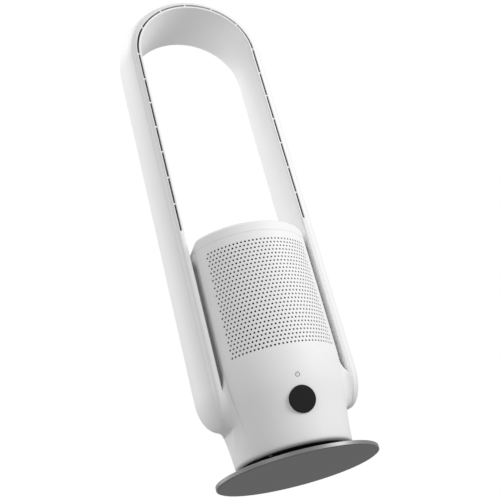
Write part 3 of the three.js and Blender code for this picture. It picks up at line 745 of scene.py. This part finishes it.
def build_cap(name):
    """The lid: a round edge in front and behind, larger shoulders towards the arms, flat sides."""
    radius = bpy.context.scene.fan_body.radius / MM

    def blended(a, b, reach):
        """The lower of two values, rounded off where they meet."""
        share = min(max(0.5 + 0.5 * (b - a) / reach, 0), 1)
        return b + (a - b) * share - reach * share * (1 - share)

    def outline_reach(a, inset):
        """Distance from the axis to the cap's outline."""
        flat = (FLANK_X - inset) / max(abs(math.sin(a)), 1e-6)
        if flat < 4 * radius:
            return blended(radius - inset, flat, CAP_CORNER * 0.35)
        return radius - inset

    def height(x, y, inset):
        """Height of the lid's face over a point."""
        over = min(max(math.hypot(x, y) - (radius - CAP_EDGE), 0), CAP_EDGE)
        edge = BODY_TOP - CAP_EDGE + math.sqrt(CAP_EDGE**2 - over**2)
        aside = min(max(abs(x) - (FLANK_X - SHOULDER), 0), SHOULDER)
        shoulder = BODY_TOP - SHOULDER + math.sqrt(SHOULDER**2 - aside**2)
        low = min(edge, shoulder)
        if low < BODY_TOP - 0.5:
            low = blended(edge, shoulder, 2.0)
        return low - inset

    count = 300
    rings, inner = [], []
    foot = SEAM + 0.12
    turns = [2 * math.pi * k / count for k in range(count)]
    for inset, out in ((0.0, rings), (INNER_WALL, inner)):
        outline = [(a, outline_reach(a, inset)) for a in turns]
        out.append([(r * math.sin(a), -r * math.cos(a), foot) for a, r in outline])
        for step in CAP_ROWS:
            ring = []
            for a, reach in outline:
                r = max(reach - step, 1.0)
                x, y = r * math.sin(a), -r * math.cos(a)
                ring.append((x, y, max(height(x, y, inset), foot + 0.05)))
            out.append(ring)
    points = [p for ring in rings + inner for p in ring]
    faces = []
    shift = len(rings) * count
    for i in range(len(rings) - 1):
        for k in range(count):
            a, b = i * count + k, i * count + (k + 1) % count
            c, d = b + count, a + count
            faces += [(a, b, c, d), (d + shift, c + shift, b + shift, a + shift)]
    last = (len(rings) - 1) * count
    faces.append([last + k for k in range(count)])
    faces.append([last + shift + k for k in range(count)][::-1])
    for k in range(count):
        a, b = k, (k + 1) % count
        faces.append((b, a, a + shift, b + shift))
    return make_object(name, points, faces, sharp=50)


# ---- The loop ---------------------------------------------------------------------------------------


def loop_stations(loop):
    """Stations up the left arm, over the arch and down the right arm: (side or None, height or angle)."""
    slot_end = loop.slot_end / MM
    arch = loop.arch_height / MM
    share = TIP_SHARE * np.sin(np.radians(np.linspace(90, 0, 22)))
    low = [TONGUE_TOP - s * (TONGUE_TOP - ARM_BOTTOM) for s in share]
    half = loop.slot_width / MM / 2
    ends = [slot_end + half * (1 - math.cos(math.radians(a))) for a in range(0, 91, 15)]
    arm = low + [250, slot_end - 0.3] + ends + [500, 620, 740]
    stations = [(-1, z) for z in arm]
    stations += [(None, math.radians(a)) for a in np.linspace(-90, 90, 97)]
    stations += [(1, z) for z in arm[::-1]]
    return stations, arch, slot_end, half


def loop_place(station, section, arch):
    side, value = station
    if side is None:
        sine, cosine = math.sin(value), math.cos(value)
        return [(r * sine, y, arch + r * cosine) for r, y in section]
    f = arm_factor(value)
    return [
        (side * (ARM_ROOT + (r - ARM_ROOT) * f), ARM_TIP_Y + (y - ARM_TIP_Y) * f, value)
        for r, y in section
    ]


def arc_points(shrink, start, end, count):
    a = np.radians(np.linspace(start, end, count))
    reach = OUTER_ARC["r"] - shrink
    return [
        (OUTER_ARC["x"] + reach * math.cos(t), OUTER_ARC["y"] + reach * math.sin(t)) for t in a
    ]


def band_section(lip):
    """Closed section of the inner band, whose front lip ends at the given distance."""
    inside = lip - 0.02
    return fillet(
        [
            (106.25, -56.9, 3.3),
            (lip, LIP_Y, 0.3),
            (inside, -53.4, 0.1),
            (109.2, -53.2, 0.8),
            (108.8, -51.6, 0.5),
            (112.9, 57.4, 0.6),
            (LOOP_SEAM - 0.1, 58.4, 0.2),
            (LOOP_SEAM - 0.1, 61.0, 0.15),
            (111.8, 60.5, 1.2),
        ],
        4,
    )


def shell_section():
    """Closed section of the outer shell: lip, valley, ridge, bulging wall, rear edge.

    The last corner of the front only gives a direction and is dropped.
    """
    front = fillet(
        [
            (LOOP_SEAM + 0.1, LIP_Y, 0.35),
            (114.7, -56.9, 1.0),
            (117.4, -54.2, 4.0),
            (123.3, -51.5, 9.0),
            arc_points(0, -28, -28, 1)[0] + (0,),
            (100.0, 0.0, 0),
        ],
        6,
    )[:-1]
    rear = [(113.9, 61.0), (LOOP_SEAM + 0.1, 61.0), (LOOP_SEAM + 0.1, 57.6)]
    inner = arc_points(LOOP_WALL, 39.5, -29.5, 18)
    back = [(117.6, -50.6), (114.9, -53.3), (LOOP_SEAM + 0.1, -53.5)]
    return front + arc_points(0, -27, 41.5, 30) + rear + inner + back


def build_loop_band(name):
    """The inner wall of the loop, with the front lip beside the slot and the ribs across it."""
    loop = bpy.context.scene.fan_loop
    stations, arch, slot_end, half = loop_stations(loop)
    rings = []
    for side, value in stations:
        above = half if side is None else min(max(value - slot_end, 0), half)
        opened = math.sqrt(max(1 - (1 - above / half) ** 2, 0))
        lip = LOOP_SEAM - 0.06 - (loop.slot_width / MM - 0.1) * opened
        rings.append(loop_place((side, value), band_section(lip), arch))
    band = tube(name + "_wall", rings)
    width, pitch = loop.rib_width / MM, loop.rib_pitch / MM
    places = [(Matrix.Rotation(math.radians(a), 4, "Y"), None) for a in ARCH_RIBS]
    places += [(Matrix.Rotation(-math.radians(a), 4, "Y"), None) for a in ARCH_RIBS[1:]]
    places += [(side, slot_end + k * pitch) for k in range(1, ARM_RIBS + 1) for side in (-1, 1)]
    ribs = []
    for where, z in places:
        corners = []
        for u in (RIB_INSIDE, LOOP_SEAM + 0.3):
            for y in (RIB_FRONT, RIB_BACK):
                for w in (-width / 2, width / 2):
                    if z is None:
                        p = where @ Vector((w, y, u))
                        corners.append((p.x, p.y, arch + p.z))
                    else:
                        corners.append((where * u, y, z + w))
        faces = [(0, 1, 3, 2), (4, 6, 7, 5), (0, 4, 5, 1), (2, 3, 7, 6), (0, 2, 6, 4), (1, 5, 7, 3)]
        ribs.append(make_object(f"{name}_rib", corners, faces))
        fix_normals(ribs[-1])
    return join(name, [band] + ribs)


def fix_normals(obj):
    """Turns a closed body's faces outwards."""
    mesh = bmesh.new()
    mesh.from_mesh(obj.data)
    bmesh.ops.recalc_face_normals(mesh, faces=mesh.faces)
    mesh.to_mesh(obj.data)
    mesh.free()


def build_loop_shell(name):
    loop = bpy.context.scene.fan_loop
    stations, arch, _, _ = loop_stations(loop)
    section = shell_section()
    obj = tube(name, [loop_place(s, section, arch) for s in stations])
    fix_normals(obj)
    return obj


# ---- Dial and key -------------------------------------------------------------------------------------


def on_dial(obj, controls):
    """Moves a piece made round Z, front up, onto the dial's axis."""
    turn = Matrix.Rotation(math.radians(90) + controls.dial_tilt, 4, "X")
    centre = Vector(DIAL_CENTRE) * MM
    obj.data.transform(Matrix.Translation(centre) @ turn)
    return obj


def build_dial(name):
    controls = bpy.context.scene.fan_controls
    r = controls.dial_diameter / MM / 2
    bend = DIAL_ROUNDING
    turn = np.radians(np.linspace(0, 90, 7))
    edge = [(r - bend + bend * math.cos(a), -bend + bend * math.sin(a)) for a in turn]
    profile = [(0.01, -DIAL_DEPTH), (r - 0.5, -DIAL_DEPTH), (r, -DIAL_DEPTH + 0.5), *edge, (0.01, 0)]
    return on_dial(turned(name, profile, 128, True), controls)


def body_patch(name, controls, outline_sets, lift, depth):
    """Small plates that follow the front of the body round the key's centre."""
    z0 = controls.key_height / MM
    objects = []
    for polygon in outline_sets:
        top, low = [], []
        for x, z in polygon:
            r = float(SURFACE.radius(z0 + z))
            y = -math.sqrt(r**2 - x**2)
            top.append((x, y - lift, z0 + z))
            low.append((x, y - lift + depth, z0 + z))
        n = len(polygon)
        if n == 4:
            faces = [list(range(n)), [2 * n - 1 - i for i in range(n)]]
        else:
            faces = []
            for i in range(n // 2 - 1):
                quad = (i, i + 1, n - 2 - i, n - 1 - i)
                faces += [quad, tuple(q + n for q in quad[::-1])]
        for i in range(n):
            j = (i + 1) % n
            faces.append((i, i + n, j + n, j))
        objects.append(make_object(name + "_part", top + low, faces))
        fix_normals(objects[-1])
    return join(name, objects)


def build_key(name):
    """The key's face follows the body round it."""
    controls = bpy.context.scene.fan_controls
    z0 = controls.key_height / MM
    points, faces = [], []
    radii = KEY_RADII
    count = 32
    for inset in (0.0, KEY_DEPTH):
        for r in radii:
            drop = KEY_DROP if (r == radii[-1] and inset == 0) else 0
            for k in range(count):
                a = 2 * math.pi * k / count
                x, z = r * math.cos(a), z0 + r * math.sin(a)
                y = -math.sqrt(float(SURFACE.radius(z)) ** 2 - x**2) + inset + drop + 0.02
                points.append((x, y, z))
    shift = len(radii) * count
    for i in range(len(radii) - 1):
        for k in range(count):
            a, b = i * count + k, i * count + (k + 1) % count
            c, d = b + count, a + count
            faces += [(a, d, c, b), (a + shift, b + shift, c + shift, d + shift)]
    last = (len(radii) - 1) * count
    for k in range(count):
        a, b = last + k, last + (k + 1) % count
        faces.append((a, a + shift, b + shift, b))
    faces.append([k for k in range(count)])
    faces.append([shift + k for k in range(count)][::-1])
    obj = make_object(name, points, faces)
    fix_normals(obj)
    return obj


def build_symbol(name):
    """The sign for on and off: an open ring and a stroke."""
    controls = bpy.context.scene.fan_controls
    outer = controls.symbol_diameter / MM / 2
    line = SIGN_LINE
    gap, lean = math.radians(30), controls.symbol_lean
    start = math.pi / 2 + lean
    angles = np.linspace(start + gap, start + 2 * math.pi - gap, 40)
    ring = [(outer * math.cos(a), outer * math.sin(a)) for a in angles]
    ring += [((outer - line) * math.cos(a), (outer - line) * math.sin(a)) for a in angles[::-1]]
    stroke = [(-line / 2, -0.4), (line / 2, -0.4), (line / 2, outer + 0.2), (-line / 2, outer + 0.2)]
    turn = np.array([[math.cos(lean), -math.sin(lean)], [math.sin(lean), math.cos(lean)]])
    stroke = [tuple(turn @ np.array(p)) for p in stroke]
    return body_patch(name, controls, [ring, stroke], 0.03, 0.2)


# ---- Other turned and bent pieces -----------------------------------------------------------------------


def rounded(corners):
    """A closed turned profile with rounded corners, anticlockwise from the inside bottom."""
    return fillet(corners, 4)


def build_screen(name, facing):
    """A woven sheet behind a cover's holes."""
    rings = []
    turns = np.radians(np.linspace(-SCREEN_HALF, SCREEN_HALF, 56))
    for z in np.linspace(SCREEN_LOW, SCREEN_HIGH, 3):
        ring = []
        for r, angles in ((SCREEN_OUTER, turns), (SCREEN_INNER, turns[::-1])):
            ring += [(r * math.sin(a + facing), -r * math.cos(a + facing), z) for a in angles]
        rings.append(ring)
    obj = tube(name, rings)
    fix_normals(obj)
    return obj


# ---- Finishes -------------------------------------------------------------------------------------------


def finish(
    name,
    base,
    roughness,
    metallic=0.0,
    grain=(900.0, 0.02),
    mottle=(60.0, 0.02),
    specular=0.5,
    weave=None,
    brushed=False,
):
    """A procedural material: fine grain in relief, slight unevenness in colour and in gloss.

    grain and mottle are (scale, strength). A weave, given by its scale, takes the grain's place.
    """
    material = bpy.data.materials.new(name)
    material.use_nodes = True
    tree = material.node_tree
    nodes, links = tree.nodes, tree.links
    shader = nodes["Principled BSDF"]
    shader.inputs["Metallic"].default_value = metallic
    shader.inputs["Specular IOR Level"].default_value = specular
    where = nodes.new("ShaderNodeTexCoord")
    uneven = nodes.new("ShaderNodeTexNoise")
    uneven.inputs["Scale"].default_value = mottle[0]
    uneven.inputs["Detail"].default_value = 3.0
    links.new(where.outputs["Object"], uneven.inputs["Vector"])
    mix = nodes.new("ShaderNodeMix")
    mix.data_type = "RGBA"
    share = mottle[1]
    mix.inputs["A"].default_value = (*[c * (1 - share) for c in base], 1)
    mix.inputs["B"].default_value = (*[min(c * (1 + share), 1) for c in base], 1)
    links.new(uneven.outputs["Fac"], mix.inputs["Factor"])
    links.new(mix.outputs["Result"], shader.inputs["Base Color"])
    gloss = nodes.new("ShaderNodeMapRange")
    gloss.inputs["To Min"].default_value = max(roughness - 0.04, 0.02)
    gloss.inputs["To Max"].default_value = min(roughness + 0.04, 1.0)
    links.new(uneven.outputs["Fac"], gloss.inputs["Value"])
    links.new(gloss.outputs["Result"], shader.inputs["Roughness"])
    if weave:
        relief = nodes.new("ShaderNodeTexWave")
        relief.inputs["Scale"].default_value = weave
        relief.wave_type = "BANDS"
        relief.bands_direction = "Z"
        links.new(where.outputs["Object"], relief.inputs["Vector"])
        source = relief.outputs["Fac"]
    else:
        fine = nodes.new("ShaderNodeTexNoise")
        fine.inputs["Scale"].default_value = grain[0]
        fine.inputs["Detail"].default_value = 4.0
        if brushed:
            stretch = nodes.new("ShaderNodeMapping")
            stretch.inputs["Scale"].default_value = (1.0, 1.0, 0.04)
            links.new(where.outputs["Object"], stretch.inputs["Vector"])
            links.new(stretch.outputs["Vector"], fine.inputs["Vector"])
        else:
            links.new(where.outputs["Object"], fine.inputs["Vector"])
        source = fine.outputs["Fac"]
    bump = nodes.new("ShaderNodeBump")
    bump.inputs["Strength"].default_value = grain[1]
    bump.inputs["Distance"].default_value = 0.0002
    links.new(source, bump.inputs["Height"])
    links.new(bump.outputs["Normal"], shader.inputs["Normal"])
    return material


def build_finishes():
    """All materials by slot of the record."""
    look = bpy.context.scene.fan_finish
    made = {}

    def add(name, base, roughness, metallic=0.0, **others):
        made[name] = finish(name, base, roughness, metallic, **others)

    add("white_shell", look.white, 0.55, grain=(1400, 0.05), mottle=(25, 0.006), specular=0.35)
    add("white_inner", (0.62, 0.62, 0.61), 0.55)
    add("dust_mesh", look.screen, 0.85, grain=(1, 0.6), weave=800.0, specular=0.2)
    add("plate_paint", look.plate, 0.4, 0.55, grain=(2200, 0.04))
    add("pad_rubber", look.underside, 0.85, grain=(700, 0.3), specular=0.25)
    add("black_plastic", (0.02, 0.02, 0.021), 0.6, grain=(900, 0.2))
    add("dial_black", look.dial, 0.55, grain=(1500, 0.08), specular=0.15)
    add("gear_plastic", (0.74, 0.71, 0.62), 0.5)
    add("mount_rubber", (0.03, 0.03, 0.032), 0.9, grain=(600, 0.3))
    add("board", (0.03, 0.12, 0.05), 0.5, mottle=(300, 0.3))
    add("motor_metal", (0.5, 0.5, 0.51), 0.3, 1.0, brushed=True, grain=(400, 0.1))
    add("cast_column", (0.35, 0.35, 0.36), 0.5, 1.0, grain=(500, 0.3))
    add("steel", (0.16, 0.16, 0.165), 0.4, 1.0, grain=(500, 0.1))
    add("sign_grey", (0.09, 0.09, 0.09), 0.6)
    return made


FINISHES = {}  # filled by the first operator

# ---- Operators ------------------------------------------------------------------------------------------


class FAN_OT_finishes(bpy.types.Operator):
    """Make the finishes and give them to the solids"""

    bl_idname = "fan.finishes"
    bl_label = "Finishes"

    def execute(self, context):
        FINISHES.update(build_finishes())
        slots = {part["node"]: part["material_slot"] for part in frame["record"]["subparts"]}
        for node, obj in frame["nodes"].items():
            obj.data.materials.clear()
            obj.data.materials.append(FINISHES[slots[node]])
        return {"FINISHED"}


class FAN_OT_covers(bpy.types.Operator):
    """Build the front and the rear cover with their holes"""

    bl_idname = "fan.covers"
    bl_label = "Covers"

    def execute(self, context):
        front = build_cover("front_cover_skin", 0.0, True, False)
        settle(front, SWING, "white_shell", "front_cover")
        rear = build_cover("rear_cover_skin", math.pi, False, True)
        settle(rear, SWING, "white_shell", "rear_cover")
        return {"FINISHED"}


class FAN_OT_flanks(bpy.types.Operator):
    """Build the sides of the body that carry the arms"""

    bl_idname = "fan.flanks"
    bl_label = "Flanks"

    def execute(self, context):
        for side, word in ((-1, "left"), (1, "right")):
            obj = build_flank(f"{word}_flank_skin", side)
            settle(obj, SWING, "white_shell", f"{word}_side_panel")
        return {"FINISHED"}


class FAN_OT_cap(bpy.types.Operator):
    """Build the lid of the body"""

    bl_idname = "fan.cap"
    bl_label = "Top Cap"

    def execute(self, context):
        settle(build_cap("cap_skin"), SWING, "white_shell", "top_cap")
        return {"FINISHED"}


class FAN_OT_loop(bpy.types.Operator):
    """Build the two shells of the air loop, with the slot and its ribs"""

    bl_idname = "fan.loop"
    bl_label = "Air Loop"

    def execute(self, context):
        band = build_loop_band("loop_band_skin")
        settle(band, SWING, "white_shell", "loop_inner_band")
        shell = build_loop_shell("loop_shell_skin")
        settle(shell, SWING, "white_shell", "loop_outer_shell")
        return {"FINISHED"}


class FAN_OT_controls(bpy.types.Operator):
    """Build the dial and the key with its sign"""

    bl_idname = "fan.controls"
    bl_label = "Controls"

    def execute(self, context):
        settle(build_dial("dial_skin"), DIAL, "dial_black", "control_dial")
        settle(build_key("key_skin"), SWING, "white_shell", "touch_key")
        settle(build_symbol("key_sign"), SWING, "white_shell", look="sign_grey")
        return {"FINISHED"}


class FAN_OT_base(bpy.types.Operator):
    """Build the floor plate with its pad and collar, and the body's underside"""

    bl_idname = "fan.base"
    bl_label = "Base"

    def execute(self, context):
        r, low, top = PLATE_R, PLATE_LOW, PLATE_TOP
        plate = turned(
            "plate_skin", rounded([(9, low, 0.3), (r, low, 0.35), (r, top, 0.7), (9, top, 0.3)]), 192
        )
        settle(plate, BASE, "plate_paint", "base_plate")
        pad = turned(
            "pad_skin", [(0.01, 0), (r - 2.4, 0), (r - 2.1, 0.1), (r - 2, 0.4), (r - 2, low)], 192, True
        )
        settle(pad, BASE, "pad_rubber", "base_pad")
        collar = turned(
            "collar_skin", rounded([(68, top, 0), (74, top, 0), (74, 20.5, 1), (68, 20.5, 0.5)]), 128
        )
        settle(collar, BASE, "black_plastic", "base_collar")
        floor = turned(
            "underside_skin",
            rounded(
                [(23.4, 20.4, 0.3), (66, 20.4, 0.5), (66, 22.6, 0.3), (85, 22.6, 0.5), (85, 25.6, 0.5),
                 (27, 25.6, 0.5), (27, 29, 0.3), (23.4, 29, 0.3)]
            ),
            128,
        )
        settle(floor, SWING, "black_plastic", "bottom_cover")
        return {"FINISHED"}


class FAN_OT_screens(bpy.types.Operator):
    """Build the dark screens behind the holes"""

    bl_idname = "fan.screens"
    bl_label = "Dust Screens"

    def execute(self, context):
        for word, facing in (("front", 0.0), ("rear", math.pi)):
            obj = build_screen(f"{word}_screen_sheet", facing)
            settle(obj, SWING, "dust_mesh", f"{word}_dust_screen")
        return {"FINISHED"}


def area_light(name, azimuth, elevation, power):
    """A square lamp aimed at the middle of the fan; azimuth 0 is in front, 90 at the right."""
    data = bpy.data.lights.new(name, "AREA")
    data.size = LAMP_SIZE
    data.energy = power
    obj = bpy.data.objects.new(name, data)
    bpy.context.scene.collection.objects.link(obj)
    turn, rise = math.radians(azimuth), math.radians(elevation)
    away = Vector(
        (math.sin(turn) * math.cos(rise), -math.cos(turn) * math.cos(rise), math.sin(rise))
    )
    obj.location = Vector((0, 0, LAMP_AIM)) + away * LAMP_DISTANCE
    obj.rotation_euler = (-away).to_track_quat("-Z", "Y").to_euler()


class FAN_OT_stage(bpy.types.Operator):
    """Place the camera, the lamps and the white surroundings"""

    bl_idname = "fan.stage"
    bl_label = "Stage"

    def execute(self, context):
        scene = context.scene
        stage = scene.fan_stage
        world = bpy.data.worlds.new("surroundings")
        scene.world = world
        world.use_nodes = True
        nodes, links = world.node_tree.nodes, world.node_tree.links
        background = nodes["Background"]
        background.inputs["Color"].default_value = (1, 1, 1, 1)
        background.inputs["Strength"].default_value = stage.ambient
        white = nodes.new("ShaderNodeBackground")
        white.inputs["Color"].default_value = (1, 1, 1, 1)
        white.inputs["Strength"].default_value = 1.0
        path = nodes.new("ShaderNodeLightPath")
        mix = nodes.new("ShaderNodeMixShader")
        links.new(path.outputs["Is Camera Ray"], mix.inputs["Fac"])
        links.new(background.outputs["Background"], mix.inputs[1])
        links.new(white.outputs["Background"], mix.inputs[2])
        links.new(mix.outputs["Shader"], nodes["World Output"].inputs["Surface"])
        for name, (azimuth, elevation) in LAMPS.items():
            area_light(name, azimuth, elevation, getattr(stage, f"{name}_power"))
        data = bpy.data.cameras.new("camera")
        data.sensor_width = SENSOR_WIDTH
        data.lens = SENSOR_WIDTH * stage.focal_pixels / IMAGE_WIDTH
        data.clip_start, data.clip_end = 0.05, 20
        camera = bpy.data.objects.new("camera", data)
        scene.collection.objects.link(camera)
        forward = Vector(CAMERA_FORWARD).normalized()
        right = forward.cross(Vector((0, 0, 1))).normalized()
        up = right.cross(forward)
        roll = math.radians(CAMERA_ROLL)
        across = right * math.cos(roll) + up * math.sin(roll)
        above = up * math.cos(roll) - right * math.sin(roll)
        turn = Matrix((across, above, -forward)).transposed().to_4x4()
        camera.matrix_world = Matrix.Translation(Vector(CAMERA_PLACE) * MM) @ turn
        scene.camera = camera
        scene.view_settings.view_transform = "Standard"
        return {"FINISHED"}


class FAN_PT_panel(bpy.types.Panel):
    bl_idname = "FAN_PT_panel"
    bl_label = "Bladeless Fan"
    bl_space_type = "VIEW_3D"
    bl_region_type = "UI"
    bl_category = "Fan"

    def draw(self, context):
        layout = self.layout
        for group, kind in SETTINGS.items():
            box = layout.box()
            box.label(text=group.replace("_", " ").title())
            settings = getattr(context.scene, group)
            for name in kind.__annotations__:
                box.prop(settings, name)
        for operator in OPERATORS:
            layout.operator(operator.bl_idname)


OPERATORS = (
    FAN_OT_finishes,
    FAN_OT_covers,
    FAN_OT_flanks,
    FAN_OT_cap,
    FAN_OT_loop,
    FAN_OT_controls,
    FAN_OT_base,
    FAN_OT_screens,
    FAN_OT_stage,
)


def register():
    for kind in (*SETTINGS.values(), *OPERATORS, FAN_PT_panel):
        bpy.utils.register_class(kind)
    for name, kind in SETTINGS.items():
        setattr(bpy.types.Scene, name, PointerProperty(type=kind))


def unregister():
    for name in SETTINGS:
        delattr(bpy.types.Scene, name)
    for kind in (FAN_PT_panel, *OPERATORS[::-1], *reversed(SETTINGS.values())):
        bpy.utils.unregister_class(kind)


def main():
    register()
    for operator in OPERATORS:
        group, name = operator.bl_idname.split(".")
        getattr(getattr(bpy.ops, group), name)()


if __name__ == "__main__":
    main()
